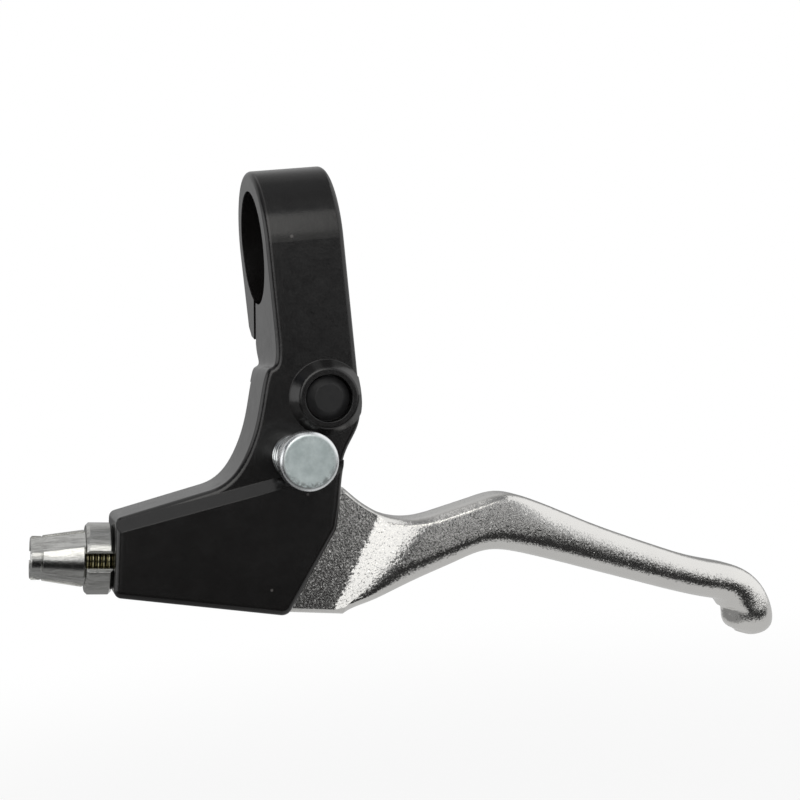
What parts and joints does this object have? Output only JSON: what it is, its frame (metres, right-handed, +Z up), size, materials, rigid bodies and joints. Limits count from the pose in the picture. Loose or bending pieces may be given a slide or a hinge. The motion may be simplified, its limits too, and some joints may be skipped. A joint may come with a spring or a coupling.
{
  "type": "bicycle brake lever",
  "caption": "Bicycle brake lever: black bracket with a split bar clamp, bright hooked blade on a pivot bolt, sprung parking-lock button, cable barrel adjuster with lock nut.",
  "frame": {"origin": "centre of the handlebar clamp's bore", "axes": "+X along the handlebar toward the blade's tip, +Z up from the lever to the bar, -Y toward the rider's view of the lock button and pivot bolt head"},
  "size_m": [0.1501, 0.0479, 0.1049],
  "materials": {
    "black_paint": "satin black paint on cast aluminium",
    "black_steel": "black oxide steel",
    "bare_aluminium": "tumbled bare cast aluminium",
    "zinc_steel": "bluish zinc plate",
    "spring_steel": "zinc-plated spring wire",
    "turned_aluminium": "bright turned aluminium",
    "nylon": "natural nylon",
    "bush_plastic": "dark acetal"
  },
  "bodies": {
    "bracket_body": {"bracket": "black_paint", "clamp_bolt": "black_steel", "pivot_bolt": "black_steel", "pivot_nut": "zinc_steel", "pivot_nut_ring": "nylon"},
    "lever_body": {"lever": "bare_aluminium", "bushing_front": "bush_plastic", "bushing_rear": "bush_plastic"},
    "lock_body": {"lock_button": "zinc_steel", "lock_pin": "zinc_steel", "lock_spring": "spring_steel"},
    "adjuster_body": {"barrel_adjuster": "turned_aluminium"},
    "lock_nut_body": {"lock_nut": "turned_aluminium"}
  },
  "joints": [
    {"name": "lever_pivot", "type": "hinge", "parent": "bracket_body", "child": "lever_body", "pos_m": [0.001, -0.0074, -0.03], "axis": [0, -1, 0], "range_deg": [0, 30]},
    {"name": "lock_press", "type": "slide", "parent": "bracket_body", "child": "lock_body", "axis": [0, 1, 0], "range_m": [0, 0.0035], "stiffness_N_per_m": 500, "springref_m": -0.004, "deforming": ["lock_spring"]},
    {"name": "adjuster_turn", "type": "hinge", "parent": "bracket_body", "child": "adjuster_body", "pos_m": [-0.04192, -0.0074, -0.05588], "axis": [-0.9903, 0, 0.1392], "continuous": true},
    {"name": "lock_nut_turn", "type": "hinge", "parent": "bracket_body", "child": "lock_nut_body", "pos_m": [-0.04192, -0.0074, -0.05588], "axis": [-0.9903, 0, 0.1392], "continuous": true}
  ]
}
